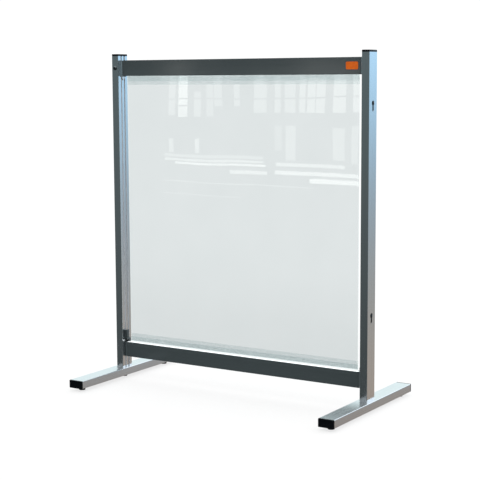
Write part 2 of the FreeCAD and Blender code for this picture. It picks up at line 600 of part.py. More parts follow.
# ---------------------------------------------------------------- write everything
def main():
    os.makedirs("parts", exist_ok=True)

    handed = {
        "post": left_post(),
        "post_cap": left_post_cap(),
        "foot_bar": left_foot_bar(),
        "lock_lever": left_lock_lever(),
        "lever_pin": left_lever_pin(),
    }
    for name, shape in handed.items():
        save("left_" + name, shape)
        save("right_" + name, half_turn(shape))

    foot_cap = left_foot_front_cap()
    save("left_foot_front_cap", foot_cap)
    save("left_foot_rear_cap", mirror_front_back(foot_cap))
    save("right_foot_rear_cap", half_turn(foot_cap))
    save("right_foot_front_cap", half_turn(mirror_front_back(foot_cap)))

    top_connector = top_left_connector()
    save("top_left_connector", top_connector)
    save("top_right_connector", half_turn(top_connector))
    bottom_connector = bottom_left_connector()
    save("bottom_left_connector", bottom_connector)
    save("bottom_right_connector", half_turn(bottom_connector))

    save("foot_bolts", left_foot_bolt(), half_turn(left_foot_bolt()))
    save("foot_washers", left_foot_washer(), half_turn(left_foot_washer()))
    save("foot_spacers", left_foot_spacer(), half_turn(left_foot_spacer()))
    save("top_lock_screws", left_lock_screw(), half_turn(left_lock_screw()))

    inserts = []
    for x_side, x_name in ((-1, "left"), (1, "right")):
        for y_side, y_name in ((-1, "front"), (1, "rear")):
            x = x_side * POST_X
            y = y_side * GLIDE_Y
            corner = x_name + "_" + y_name
            save("glide_pad_" + corner, glide_pad(x, y))
            save("glide_stud_" + corner, glide_stud(x, y))
            inserts.append(glide_insert(x, y))
    save("glide_inserts", *inserts)

    save("top_rail", rail(TOP_RAIL_Z, 1))
    save("bottom_rail", rail(BOTTOM_RAIL_Z, -1))
    save("top_rail_screws", rail_screw(-RAIL_SCREW_X, TOP_RAIL_Z, 1),
         rail_screw(RAIL_SCREW_X, TOP_RAIL_Z, 1))
    save("bottom_rail_screws", rail_screw(-RAIL_SCREW_X, BOTTOM_RAIL_Z, -1),
         rail_screw(RAIL_SCREW_X, BOTTOM_RAIL_Z, -1))

    save("clear_film", clear_film())
    save("top_film_pocket", film_pocket(TOP_BATTEN_Z, TOP_RAIL_Z - WIDE / 2, 1))
    save("bottom_film_pocket", film_pocket(BOTTOM_BATTEN_Z, BOTTOM_RAIL_Z + WIDE / 2, -1))
    save("top_batten", batten(TOP_BATTEN_Z))
    save("bottom_batten", batten(BOTTOM_BATTEN_Z))
    save("rail_badge", rail_badge())


main()
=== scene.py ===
# %% [markdown]
# # A clear counter screen, finished in Blender
# The exact shapes of this screen come from its CAD model: two aluminium posts on bar feet, a dark
# rail at the top and one at the bottom, and a clear film stretched between them. Blender adds what
# CAD leaves out. It gives soft film, moulded plastic with rounded edges, and a finish for every
# surface. The CAD model loads first, as a frame that stays fixed, and its box is kept, because
# nothing that is added may stand outside it.

# %% Load the frame
import json
import math

import bmesh
import bpy
import numpy as np
from mathutils import Matrix, Vector


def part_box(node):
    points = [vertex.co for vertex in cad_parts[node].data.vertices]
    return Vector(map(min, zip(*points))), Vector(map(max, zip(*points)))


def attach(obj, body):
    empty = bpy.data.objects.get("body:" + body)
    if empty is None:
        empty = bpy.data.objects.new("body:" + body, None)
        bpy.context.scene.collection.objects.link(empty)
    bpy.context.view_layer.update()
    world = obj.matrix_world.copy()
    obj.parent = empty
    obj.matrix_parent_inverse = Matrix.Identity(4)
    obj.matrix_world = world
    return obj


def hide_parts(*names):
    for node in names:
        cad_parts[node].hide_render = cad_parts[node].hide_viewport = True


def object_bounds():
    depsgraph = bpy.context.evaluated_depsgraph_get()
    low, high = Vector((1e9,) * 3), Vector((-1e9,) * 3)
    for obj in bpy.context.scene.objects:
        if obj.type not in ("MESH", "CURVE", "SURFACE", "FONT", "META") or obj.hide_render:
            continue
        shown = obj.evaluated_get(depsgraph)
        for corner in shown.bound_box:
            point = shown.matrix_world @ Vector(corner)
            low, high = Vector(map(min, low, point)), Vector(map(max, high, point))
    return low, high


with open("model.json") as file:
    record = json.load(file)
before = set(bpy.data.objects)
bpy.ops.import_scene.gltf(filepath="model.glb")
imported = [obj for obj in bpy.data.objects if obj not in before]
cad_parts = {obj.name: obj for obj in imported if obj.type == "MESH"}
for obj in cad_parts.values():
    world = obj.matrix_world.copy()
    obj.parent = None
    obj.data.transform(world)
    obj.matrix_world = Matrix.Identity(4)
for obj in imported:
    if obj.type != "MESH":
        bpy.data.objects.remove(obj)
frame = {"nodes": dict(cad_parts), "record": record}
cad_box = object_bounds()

# %% [markdown]
# ## The camera
# A long lens from a few metres away keeps the posts nearly parallel, as in a catalogue picture.
# A camera looks along its own -Z, so its matrix is put together from three directions: right,
# up, and backwards.

# %% Camera
CAMERA_PLACE = Vector((1.69823, -2.67439, 0.7842))
CAMERA_YAW = math.radians(32.3208)
CAMERA_PITCH = math.radians(-7.1311)
CAMERA_ROLL = math.radians(-0.2860)
LENS_MM, SENSOR_MM = 96.39, 36.0

forward = Vector((-math.sin(CAMERA_YAW) * math.cos(CAMERA_PITCH),
                  math.cos(CAMERA_YAW) * math.cos(CAMERA_PITCH),
                  math.sin(CAMERA_PITCH)))
level_right = Vector((math.cos(CAMERA_YAW), math.sin(CAMERA_YAW), 0.0))
level_up = level_right.cross(forward)
right = math.cos(CAMERA_ROLL) * level_right + math.sin(CAMERA_ROLL) * level_up
up = -math.sin(CAMERA_ROLL) * level_right + math.cos(CAMERA_ROLL) * level_up

camera = bpy.data.objects.new("camera", bpy.data.cameras.new("camera"))
bpy.context.scene.collection.objects.link(camera)
camera.data.sensor_width = SENSOR_MM
camera.data.lens = LENS_MM
turn = Matrix((right, up, -forward)).transposed().to_4x4()
camera.matrix_world = Matrix.Translation(CAMERA_PLACE) @ turn
bpy.context.scene.camera = camera
bpy.context.scene.view_settings.view_transform = "Standard"
screen_middle = (Vector(cad_box[0]) + Vector(cad_box[1])) / 2
print("camera", round((CAMERA_PLACE - screen_middle).length, 2), "m from the screen's middle")

# %% [markdown]
# ## The floor
# The floor is one pale plane. It works like a light table: it glows a little besides being lit,
# so only a faint shadow is left under the feet. Metal mirrors whatever is round it, and a white
# floor would turn the satin posts white, so reflections don't see the floor. They see the room
# instead, which comes in the next step.

# %% Floor
FLOOR_SIZE = 600.0
FLOOR_GAP = 0.0005      # keeps the floor and the undersides of the glides apart
FLOOR_GLOW = 0.75
FLOOR_COLOUR = (0.250, 0.244, 0.238)
bpy.ops.object.select_all(action="DESELECT")
bpy.ops.mesh.primitive_plane_add(size=FLOOR_SIZE, location=(0, 0, -FLOOR_GAP))
floor = bpy.context.active_object
floor.name = "floor"
floor.visible_glossy = False
floor_paint = bpy.data.materials.new("floor_paint")
floor_paint.use_nodes = True
floor_shader = floor_paint.node_tree.nodes["Principled BSDF"]
floor_shader.inputs["Base Color"].default_value = (*FLOOR_COLOUR, 1.0)
floor_shader.inputs["Emission Color"].default_value = (1.0, 1.0, 1.0, 1.0)
floor_shader.inputs["Emission Strength"].default_value = FLOOR_GLOW
floor_shader.inputs["Roughness"].default_value = 0.9
floor_shader.inputs["Specular IOR Level"].default_value = 0.0
floor.data.materials.append(floor_paint)
print("floor", FLOOR_SIZE, "m wide")

# %% [markdown]
# ## The room
# A bright ceiling gives soft light with hardly any shadow. The walls are told apart by
# direction: the one in front of the screen is dark, the one behind it on the right is pale blue
# and turns warm towards the ground, and the one behind it on the left is white. The dark wall is
# what makes the faces towards the customer look dark. A world shader reads the direction as its
# Generated coordinate. The camera itself sees plain white.

# %% Room
UP_RAMPS = {
    # how high a direction points (sine of its angle), and the light that comes from there
    "front": [(-0.30, (0.041, 0.047, 0.049)), (-0.12, (0.083, 0.099, 0.102)),
              (0.02, (0.110, 0.140, 0.147)), (0.15, (0.15, 0.18, 0.19)),
              (0.50, (0.32, 0.34, 0.36)), (0.80, (1.50, 1.52, 1.55))],
    "blue": [(-0.32, (0.22, 0.17, 0.14)), (-0.24, (0.42, 0.35, 0.30)), (-0.17, (0.36, 0.35, 0.33)),
             (-0.10, (0.33, 0.39, 0.44)), (-0.047, (0.38, 0.55, 0.69)),
             (0.02, (0.54, 0.86, 1.14)), (0.30, (1.20, 1.30, 1.40)), (0.75, (1.55, 1.57, 1.60))],
    "white": [(-0.25, (0.50, 0.52, 0.53)), (-0.02, (0.74, 0.88, 0.90)),
              (0.30, (0.82, 0.97, 0.98)), (0.75, (1.55, 1.57, 1.60))],
}
WALL_BLEND = 0.25       # how gradually one wall passes into the next
PLAIN_WHITE = 1.05      # what the camera sees past the screen

world = bpy.data.worlds.new("studio")
bpy.context.scene.world = world
world.use_nodes = True
sky = world.node_tree
sky.nodes.clear()


def sky_node(kind, **settings):
    node = sky.nodes.new(kind)
    for key, value in settings.items():
        setattr(node, key, value)
    return node


direction = sky_node("ShaderNodeTexCoord").outputs["Generated"]
parts = sky_node("ShaderNodeSeparateXYZ")
sky.links.new(direction, parts.inputs[0])


def wall_share(part):
    """0 on one side of the room and 1 on the other, along one direction part."""
    share = sky_node("ShaderNodeMapRange", interpolation_type="SMOOTHSTEP")
    share.inputs["From Min"].default_value = -WALL_BLEND
    share.inputs["From Max"].default_value = WALL_BLEND
    sky.links.new(parts.outputs[part], share.inputs["Value"])
    return share.outputs["Result"]


def wall_light(stops):
    """A wall whose light changes with height. A ramp runs from 0 to 1, so height is fitted."""
    fitted = sky_node("ShaderNodeMapRange")
    fitted.inputs["From Min"].default_value = -1.0
    fitted.inputs["From Max"].default_value = 1.0
    sky.links.new(parts.outputs["Z"], fitted.inputs["Value"])
    ramp = sky_node("ShaderNodeValToRGB")
    while len(ramp.color_ramp.elements) < len(stops):
        ramp.color_ramp.elements.new(0.5)
    for element, (height, light) in zip(ramp.color_ramp.elements, stops):
        element.position = (height + 1.0) / 2.0
    for element, (height, light) in zip(ramp.color_ramp.elements, stops):
        element.color = (*light, 1.0)
    sky.links.new(fitted.outputs["Result"], ramp.inputs["Fac"])
    return ramp.outputs["Color"]


def sky_mix(factor, first, second):
    mix = sky_node("ShaderNodeMix", data_type="RGBA")
    sky.links.new(factor, mix.inputs["Factor"])
    sky.links.new(first, mix.inputs["A"])
    sky.links.new(second, mix.inputs["B"])
    return mix.outputs["Result"]


back_walls = sky_mix(wall_share("X"), wall_light(UP_RAMPS["white"]), wall_light(UP_RAMPS["blue"]))
room = sky_mix(wall_share("Y"), wall_light(UP_RAMPS["front"]), back_walls)
room_light = sky_node("ShaderNodeBackground")
plain_white = sky_node("ShaderNodeBackground")
plain_white.inputs["Color"].default_value = (1.0, 1.0, 1.0, 1.0)
plain_white.inputs["Strength"].default_value = PLAIN_WHITE
sky.links.new(room, room_light.inputs["Color"])
seen_by_camera = sky_node("ShaderNodeLightPath").outputs["Is Camera Ray"]
sky_choice = sky_node("ShaderNodeMixShader")
sky_output = sky_node("ShaderNodeOutputWorld")
sky.links.new(seen_by_camera, sky_choice.inputs[0])
sky.links.new(room_light.outputs[0], sky_choice.inputs[1])
sky.links.new(plain_white.outputs[0], sky_choice.inputs[2])
sky.links.new(sky_choice.outputs[0], sky_output.inputs["Surface"])
print("room with", len(UP_RAMPS), "walls")

# %% [markdown]
# ## Window panes
# Glossy film shows best by what it mirrors. A row of tall panes and a few long tubes stand in
# front of the screen, on the left, where the film and the rails mirror them. They are plain
# area lights, which the camera doesn't see. An area light's power is spread over its area and
# all directions, so the same brightness takes power in proportion to the area. Light linking
# lets them light the film, its hems and the rails only, because they would wash out the satin
# posts. The collection that names those pieces is filled once they are all made.

# %% Panes and tubes
PANE_Y = -3.0
PANE_LIGHT = 2.6
PANE_COLOUR = (1.0, 0.985, 0.94)
BAR = 0.007             # a bar across a window
BAR_Z = 0.685
WINDOWS = [
    # left edge, width, bottom, top in metres, share of the full brightness
    (-2.335, 0.042, 0.600, 0.888, 0.45), (-2.273, 0.057, 0.590, 0.646, 1.00),
    (-2.273, 0.057, 0.653, 0.888, 1.20), (-2.176, 0.043, 0.590, 0.720, 0.45),
    (-2.099, 0.043, 0.590, 0.760, 0.35), (-2.049, 0.050, 0.645, 0.835, 0.40),
    (-1.924, 0.036, 0.650, 0.760, 0.45), (-1.801, 0.060, 0.616, 0.840, 0.50),
    (-1.748, 0.024, 0.616, 0.766, 0.45), (-1.676, 0.035, 0.617, 0.800, 0.50),
    (-1.617, 0.064, 0.617, 0.767, 0.50), (-1.530, 0.035, 0.619, 0.868, 0.60),
    (-1.483, 0.046, 0.619, 0.868, 0.65), (-1.432, 0.052, 0.619, 0.868, 0.65),
    (-1.336, 0.068, 0.620, 0.875, 0.70), (-1.230, 0.039, 0.620, 0.875, 0.70),
]
LOW_WINDOWS = [
    (-2.342, 0.032, 0.396, 0.471, 0.55), (-2.166, 0.025, 0.400, 0.475, 0.70),
    (-1.676, 0.041, 0.424, 0.551, 0.25), (-1.611, 0.058, 0.375, 0.552, 0.42),
    (-1.335, 0.068, 0.384, 0.546, 0.42), (-1.229, 0.035, 0.371, 0.557, 0.38),
]
RAIL_WINDOWS = [
    # high enough that only the top rail mirrors them
    (-2.300, 0.036, 0.806, 0.895, 1.40), (-2.262, 0.050, 0.806, 0.895, 0.90),
    (-1.801, 0.060, 0.806, 0.840, 0.80), (-1.518, 0.254, 0.806, 0.880, 0.45),
]
TUBES = [
    (-2.377, 0.628, 0.372, 0.388, 0.45), (-2.377, 0.628, 0.352, 0.364, 0.75),
    (-2.305, 0.568, 0.334, 0.345, 1.20), (-1.671, 0.404, 0.343, 0.361, 0.85),
    (-1.952, 0.227, 0.292, 0.311, 0.90), (-1.677, 0.488, 0.300, 0.320, 1.10),
    (-1.471, 0.283, 0.262, 0.286, 1.30), (-2.400, 0.950, 0.236, 0.240, 0.60),
    (-2.400, 0.520, 0.168, 0.172, 0.40),
]
lit_by_windows = bpy.data.collections.new("lit_by_windows")
panes = []


def add_pane(left, width, bottom, top, share):
    """One glowing rectangle, which shows only as a reflection."""
    lamp = bpy.data.lights.new(f"pane_{len(panes):02d}", "AREA")
    lamp.shape = "RECTANGLE"
    lamp.size = width
    lamp.size_y = top - bottom
    lamp.color = PANE_COLOUR
    lamp.energy = PANE_LIGHT * share * math.pi * width * (top - bottom)
    pane = bpy.data.objects.new(lamp.name, lamp)
    bpy.context.scene.collection.objects.link(pane)
    pane.location = (left + width / 2, PANE_Y, (bottom + top) / 2)
    pane.rotation_euler = (math.radians(90), 0, 0)
    pane.visible_camera = False
    pane.visible_diffuse = False
    pane.light_linking.receiver_collection = lit_by_windows
    panes.append(pane)


for left, width, bottom, top, share in WINDOWS:
    if bottom < BAR_Z < top:
        add_pane(left, width, bottom, BAR_Z - BAR / 2, share)
        add_pane(left, width, BAR_Z + BAR / 2, top, share)
    else:
        add_pane(left, width, bottom, top, share)
for window in LOW_WINDOWS + RAIL_WINDOWS + TUBES:
    add_pane(*window)
print(len(panes), "panes and tubes")

# %% [markdown]
# ## Tools for finishes
# Every finish starts from the Principled shader. Patterns read Object coordinates, which are
# metres on the real thing, so a grain of half a millimetre is asked for as such. A Mapping node
# stretches a pattern along the way the metal was drawn or brushed.

# %% Finish tools
NOISE_LOW, NOISE_HIGH = 0.3, 0.7        # nearly all of a noise lies between these


def new_finish(name):
    finish = bpy.data.materials.new(name)
    finish.use_nodes = True
    return finish, finish.node_tree, finish.node_tree.nodes["Principled BSDF"]


def grain(tree, size, stretch=(1.0, 1.0, 1.0), detail=3.0):
    """A noise with spots of a size in metres, made longer along an axis by its stretch."""
    place = tree.nodes.new("ShaderNodeTexCoord")
    mapping = tree.nodes.new("ShaderNodeMapping")
    mapping.inputs["Scale"].default_value = [1.0 / (size * factor) for factor in stretch]
    noise = tree.nodes.new("ShaderNodeTexNoise")
    noise.inputs["Scale"].default_value = 1.0
    noise.inputs["Detail"].default_value = detail
    tree.links.new(place.outputs["Object"], mapping.inputs["Vector"])
    tree.links.new(mapping.outputs["Vector"], noise.inputs["Vector"])
    return noise.outputs["Fac"]


def between(tree, source, low, high):
    """A pattern fitted between two values."""
    fitted = tree.nodes.new("ShaderNodeMapRange")
    fitted.inputs["From Min"].default_value = NOISE_LOW
    fitted.inputs["From Max"].default_value = NOISE_HIGH
    fitted.inputs["To Min"].default_value = low
    fitted.inputs["To Max"].default_value = high
    tree.links.new(source, fitted.inputs["Value"])
    return fitted.outputs["Result"]


def tint(tree, source, dark, light):
    """A pattern turned into a colour between two colours."""
    mix = tree.nodes.new("ShaderNodeMix")
    mix.data_type = "RGBA"
    mix.inputs["A"].default_value = (*dark, 1.0)
    mix.inputs["B"].default_value = (*light, 1.0)
    tree.links.new(between(tree, source, 0.0, 1.0), mix.inputs["Factor"])
    return mix.outputs["Result"]


def relief(tree, source, depth, strength=1.0):
    """A pattern as a bump whose depth is in metres."""
    bump = tree.nodes.new("ShaderNodeBump")
    bump.inputs["Distance"].default_value = depth
    bump.inputs["Strength"].default_value = strength
    tree.links.new(source, bump.inputs["Height"])
    return bump.outputs["Normal"]


def finish_from(name, dark, light, rough, colour_grain, rough_grain, bump_grain, **plain):
    """A Principled finish from three grains: (size, stretch) each, and (size, stretch, depth)."""
    finish, tree, shader = new_finish(name)
    links = tree.links
    links.new(tint(tree, grain(tree, *colour_grain), dark, light), shader.inputs["Base Color"])
    links.new(between(tree, grain(tree, *rough_grain), *rough), shader.inputs["Roughness"])
    size, stretch, depth = bump_grain
    links.new(relief(tree, grain(tree, size, stretch), depth), shader.inputs["Normal"])
    for socket, value in plain.items():
        shader.inputs[socket.replace("_", " ")].default_value = value
    return finish


EVEN = (1.0, 1.0, 1.0)
print("finish tools ready")

# %% [markdown]
# ## Tools for picking out a place
# Some pieces change their finish at a certain place, as where a coat ends. Comparing the Object
# coordinates with two limits gives a mask, which is 1 at that place and 0 elsewhere. Since the
# coordinates belong to the piece, the mask stays on it from every side.

# %% Tools by place
def math_node(tree, operation, first, second=None):
    node = tree.nodes.new("ShaderNodeMath")
    node.operation = operation
    for socket, value in zip(node.inputs, (first, second)):
        if isinstance(value, bpy.types.NodeSocket):
            tree.links.new(value, socket)
        elif value is not None:
            socket.default_value = value
    return node.outputs[0]


def object_parts(tree):
    """The place on the piece, as three separate distances from the middle."""
    place = tree.nodes.new("ShaderNodeTexCoord")
    split = tree.nodes.new("ShaderNodeSeparateXYZ")
    tree.links.new(place.outputs["Object"], split.inputs[0])
    return split.outputs


def within(tree, distance, low, high):
    """1 where a distance lies between two limits, and 0 elsewhere."""
    above = math_node(tree, "GREATER_THAN", distance, low)
    below = math_node(tree, "LESS_THAN", distance, high)
    return math_node(tree, "MULTIPLY", above, below)


def recolour_where(finish, make_mask, colour):
    """Gives another colour to the part of a finish that a mask picks out."""
    tree = finish.node_tree
    shader = tree.nodes["Principled BSDF"]
    plain = shader.inputs["Base Color"].links[0].from_socket
    mix = tree.nodes.new("ShaderNodeMix")
    mix.data_type = "RGBA"
    mix.inputs["B"].default_value = (*colour, 1.0)
    mask = make_mask(tree, object_parts(tree))
    tree.links.new(mask, mix.inputs["Factor"])
    tree.links.new(plain, mix.inputs["A"])
    tree.links.new(mix.outputs["Result"], shader.inputs["Base Color"])
    return mask


print("tools by place ready")

# %% [markdown]
# ## Metal
# The posts and feet are extruded aluminium. Pressed through a die, it keeps faint lines along its
# length, and anodising leaves it satin. The lines follow Z on the posts and Y on the feet, so the
# same recipe is used twice with a different stretch. The feet are rougher, and their colour is
# darkened a little as painted shade, for the shaded floor round them that they mirror.
# A brush doesn't reach into the narrow channel down each post's inner face, so the channel is
# taken to be matt, and the posts' finish picks it out by place.

# %% Metals
LONG = 400.0            # how much longer than wide a drawn line is
ALONG_X, ALONG_Y, ALONG_Z = (LONG, 1, 1), (1, LONG, 1), (1, 1, LONG)
ALUMINIUM_DARK, ALUMINIUM_LIGHT = (0.79, 0.815, 0.83), (0.85, 0.87, 0.885)
# Painted shade: the feet's colour is darkened against the posts, for the shaded floor round them
# that they mirror.
FOOT_PAINTED_SHADE = 0.94       # how bright the feet are, against the posts
CHANNEL_DEPTH = (0.35025, 0.3545)       # where the channel lies along X
CHANNEL_WIDTH = (0.00398, 0.0117)       # and along Y, to either side
CHANNEL_DULLING = 0.55
CHANNEL_ROUGHNESS = 0.5


def drawn_aluminium(name, stretch, rough, relief_depth, shade=1.0):
    dark, light = ([part * shade for part in colour]
                   for colour in (ALUMINIUM_DARK, ALUMINIUM_LIGHT))
    return finish_from(name, dark, light, rough,
                       (0.0009, stretch), (0.0006, stretch), (0.0007, stretch, relief_depth),
                       Metallic=1.0)


post_metal = drawn_aluminium("post_metal", ALONG_Z, (0.14, 0.20), 0.000003)
post_tree = post_metal.node_tree
post_shader = post_tree.nodes["Principled BSDF"]
place = object_parts(post_tree)
in_depth = within(post_tree, math_node(post_tree, "ABSOLUTE", place["X"]), *CHANNEL_DEPTH)
in_width = within(post_tree, math_node(post_tree, "ABSOLUTE", place["Y"]), *CHANNEL_WIDTH)
in_channel = math_node(post_tree, "MULTIPLY", in_depth, in_width)
dulling = math_node(post_tree, "MULTIPLY", in_channel, CHANNEL_DULLING)
metal_share = math_node(post_tree, "SUBTRACT", 1.0, dulling)
post_tree.links.new(metal_share, post_shader.inputs["Metallic"])
polished = post_shader.inputs["Roughness"].links[0].from_socket
unpolished = math_node(post_tree, "MULTIPLY", in_channel, CHANNEL_ROUGHNESS)
roughness = math_node(post_tree, "MAXIMUM", polished, unpolished)
post_tree.links.new(roughness, post_shader.inputs["Roughness"])
foot_metal = drawn_aluminium("foot_metal", ALONG_Y, (0.27, 0.32), 0.0000005, FOOT_PAINTED_SHADE)
print("aluminium:", post_metal.name, foot_metal.name)

# %% [markdown]
# ## Steel
# Studs, pins, bolts and washers are cold-formed steel with a zinc plating, in bright or in black.
# Plating has a faint mottle and no direction, so its grain is even. The lock screws are a
# darker steel of their own.

# %% Steel
zinc_steel = finish_from("zinc_steel", (0.58, 0.59, 0.60), (0.70, 0.70, 0.69), (0.22, 0.38),
                         (0.004, EVEN), (0.0015, EVEN), (0.0006, EVEN, 0.00001), Metallic=1.0)
screw_metal = finish_from("screw_metal", (0.16, 0.18, 0.19), (0.22, 0.24, 0.25), (0.20, 0.32),
                          (0.004, EVEN), (0.0015, EVEN), (0.0006, EVEN, 0.000008), Metallic=1.0)
black_zinc = finish_from("black_zinc", (0.018, 0.019, 0.021), (0.045, 0.046, 0.048),
                         (0.28, 0.42), (0.003, EVEN), (0.001, EVEN), (0.0004, EVEN, 0.00001),
                         Metallic=0.6)
print("steel:", zinc_steel.name, screw_metal.name, black_zinc.name)

# %% [markdown]
# ## Coated rails
# The rails carry a baked dark grey coat, semi-gloss. Such a coat levels out as it bakes and keeps
# a very shallow orange peel, spots a few millimetres wide, which is what softens the mirrored
# windows. Fine lines along the rail are wear from wiping. Along the top of the bottom rail runs
# one bright line. What makes it isn't known. Here it is a painted highlight: the two lips that
# face up are given a near-white metal colour and a weak glow.

# %% Rail coat
# The lips' near-white colour and glow are a painted highlight.
LIP_HEIGHT = (0.0955, 0.0975)
LIP_HIGHLIGHT_COLOUR = (0.97, 0.98, 0.98)
LIP_FACING_UP = 0.6
LIP_GLOW = 0.6
LIP_ROUGHNESS = 0.5

rail_coat, coat_tree, coat_shader = new_finish("rail_coat")
coat_links = coat_tree.links
coat_links.new(tint(coat_tree, grain(coat_tree, 0.02, ALONG_X),
                    (0.052, 0.065, 0.068), (0.060, 0.075, 0.078)), coat_shader.inputs["Base Color"])
wiping = between(coat_tree, grain(coat_tree, 0.0008, (120, 1, 1)), 0.09, 0.16)
coat_links.new(wiping, coat_shader.inputs["Roughness"])
orange_peel = relief(coat_tree, grain(coat_tree, 0.0035, EVEN, 1.0), 0.000006)
coat_links.new(orange_peel, coat_shader.inputs["Normal"])


# Painted highlight: picks out the lips' faces that look up.
def on_highlit_lips(tree, place):
    facing = tree.nodes.new("ShaderNodeSeparateXYZ")
    tree.links.new(tree.nodes.new("ShaderNodeTexCoord").outputs["Normal"], facing.inputs[0])
    faces_up = math_node(tree, "GREATER_THAN", facing.outputs["Z"], LIP_FACING_UP)
    return math_node(tree, "MULTIPLY", faces_up, within(tree, place["Z"], *LIP_HEIGHT))


# Painted highlight: the lips are made near-white metal, with a weak glow and more roughness.
lip_highlight = recolour_where(rail_coat, on_highlit_lips, LIP_HIGHLIGHT_COLOUR)
coat_links.new(lip_highlight, coat_shader.inputs["Metallic"])
coat_shader.inputs["Emission Color"].default_value = (1.0, 1.0, 1.0, 1.0)
lip_shine = math_node(coat_tree, "MULTIPLY", lip_highlight, LIP_GLOW)
coat_links.new(lip_shine, coat_shader.inputs["Emission Strength"])
highlight_rough = math_node(coat_tree, "MULTIPLY", lip_highlight, LIP_ROUGHNESS)
coat_links.new(math_node(coat_tree, "MAXIMUM", wiping, highlight_rough), coat_shader.inputs["Roughness"])
print("rail coat made")

# %% [markdown]
# ## Plastics and rubber
# Moulded plastic shows the spark-eroded grain of its tool, a fraction of a millimetre across. The
# glides are rubber-like and matt. The plate on the rail is a glossy orange. The connectors are
# grey beside the post. Next to the rail's end, and on the bottom connectors but for a fine line,
# they are given the rail's dark colour as painted shade. The tongue of the top ones looks like
# bright metal. Masks by place tell those parts of the one moulding apart.

# %% Plastics
RIM_END_X = 0.3443              # how far the dark rim of a connector reaches
FINE_LINE_X = (0.3450, 0.3458)  # the light line between a bottom connector and its rail
FINE_LINE_STRENGTH = 0.45
HALF_WAY_UP = 0.4
TONGUE_Z = (0.7700, 0.7944)
TONGUE_FACE_X = 0.3487


def moulded(name, dark, light, rough, grain_size, depth):
    return finish_from(name, dark, light, rough, (0.006, EVEN), (0.002, EVEN),
                       (grain_size, EVEN, depth))


cap_plastic = moulded("cap_plastic", (0.0010, 0.0016, 0.0028), (0.0025, 0.0032, 0.0050),
                      (0.24, 0.36), 0.0005, 0.00001)
cap_plastic.node_tree.nodes["Principled BSDF"].inputs["Specular IOR Level"].default_value = 0.25
grey_plastic = moulded("grey_plastic", (0.165, 0.220, 0.245), (0.195, 0.255, 0.280),
                       (0.32, 0.46), 0.0005, 0.00002)
lever_plastic = moulded("lever_plastic", (0.050, 0.064, 0.068), (0.070, 0.086, 0.090),
                        (0.28, 0.42), 0.0004, 0.00002)
glide_rubber = moulded("glide_rubber", (0.012, 0.012, 0.013), (0.024, 0.024, 0.024),
                       (0.55, 0.75), 0.0006, 0.00005)
badge_gloss = moulded("badge_gloss", (0.72, 0.120, 0.004), (0.80, 0.150, 0.007),
                      (0.16, 0.26), 0.002, 0.000006)


def shaded_by_rail_end(tree, place):
    """Painted shade: the connector's rim next to the rail, and all of the bottom connectors but a
    fine line.
    """
    across = math_node(tree, "ABSOLUTE", place["X"])
    rim = math_node(tree, "LESS_THAN", across, RIM_END_X)
    low_down = math_node(tree, "LESS_THAN", place["Z"], HALF_WAY_UP)
    line = within(tree, across, *FINE_LINE_X)
    low_dark = math_node(tree, "SUBTRACT", low_down,
                         math_node(tree, "MULTIPLY", line, FINE_LINE_STRENGTH))
    return math_node(tree, "MAXIMUM", rim, low_dark)


def on_tongue(tree, place):
    """The pointed tongue under the top connector, which looks like a bright metal leaf."""
    on_face = math_node(tree, "GREATER_THAN", math_node(tree, "ABSOLUTE", place["X"]),
                        TONGUE_FACE_X)
    return math_node(tree, "MULTIPLY", within(tree, place["Z"], *TONGUE_Z), on_face)


# Painted shade: these parts are given the rail's dark colour.
recolour_where(grey_plastic, shaded_by_rail_end, (0.056, 0.070, 0.073))
tongue = recolour_where(grey_plastic, on_tongue, (0.82, 0.84, 0.85))
grey_tree = grey_plastic.node_tree
grey_tree.links.new(tongue, grey_tree.nodes["Principled BSDF"].inputs["Metallic"])
print("plastics made")

# %% [markdown]
# ## Clear film
# Clear sheet lets most light straight through and mirrors a little more of it as the view gets
# flatter. Layer Weight gives that angle, and Schlick's formula turns it into the mirrored share:
# 4% head on, rising with the fifth power. It is the same from both sides of the sheet, which a
# Fresnel node is not. A weak grain makes the sheet faintly hazy. The cut sides of the sheet and
# the foot of its lower hem show as bright lines. Clear sheet can guide light to its edges, but
# the strength of these glows is given.

# %% Film finish
HEAD_ON_MIRRORED = 0.04         # the share that clear sheet mirrors when seen head on
SCHLICK_POWER = 5.0
SIDE_SHINE = (0.92, 0.98, 0.98)
DEEPER_FROM_Z = 0.09


def clear_finish(name, dark, light, haze_size, rough):
    finish, tree, shader = new_finish(name)
    nodes, links = tree.nodes, tree.links
    nodes.remove(shader)
    through = nodes.new("ShaderNodeBsdfTransparent")
    links.new(tint(tree, grain(tree, haze_size), dark, light), through.inputs["Color"])
    mirror = nodes.new("ShaderNodeBsdfGlossy")
    links.new(between(tree, grain(tree, 0.03), *rough), mirror.inputs["Roughness"])
    facing = nodes.new("ShaderNodeLayerWeight")
    steep = math_node(tree, "POWER", facing.outputs["Facing"], SCHLICK_POWER)
    share = nodes.new("ShaderNodeMapRange")
    share.inputs["To Min"].default_value = HEAD_ON_MIRRORED
    links.new(steep, share.inputs["Value"])
    mix = nodes.new("ShaderNodeMixShader")
    links.new(share.outputs["Result"], mix.inputs[0])
    links.new(through.outputs[0], mix.inputs[1])
    links.new(mirror.outputs[0], mix.inputs[2])
    links.new(mix.outputs[0], nodes["Material Output"].inputs["Surface"])
    return finish


def add_edge_light(finish, axis, start, end, strength):
    """Gives a band along an edge a glow that is mixed into the finish under it."""
    tree = finish.node_tree
    output = tree.nodes["Material Output"].inputs["Surface"]
    body = output.links[0].from_socket
    across = math_node(tree, "ABSOLUTE", object_parts(tree)[axis])
    glow = tree.nodes.new("ShaderNodeEmission")
    glow.inputs["Color"].default_value = (*SIDE_SHINE, 1.0)
    mix = tree.nodes.new("ShaderNodeMixShader")
    at_side = math_node(tree, "MULTIPLY", within(tree, across, start, end), strength)
    tree.links.new(at_side, mix.inputs[0])
    tree.links.new(body, mix.inputs[1])
    tree.links.new(glow.outputs[0], mix.inputs[2])
    tree.links.new(mix.outputs[0], output)


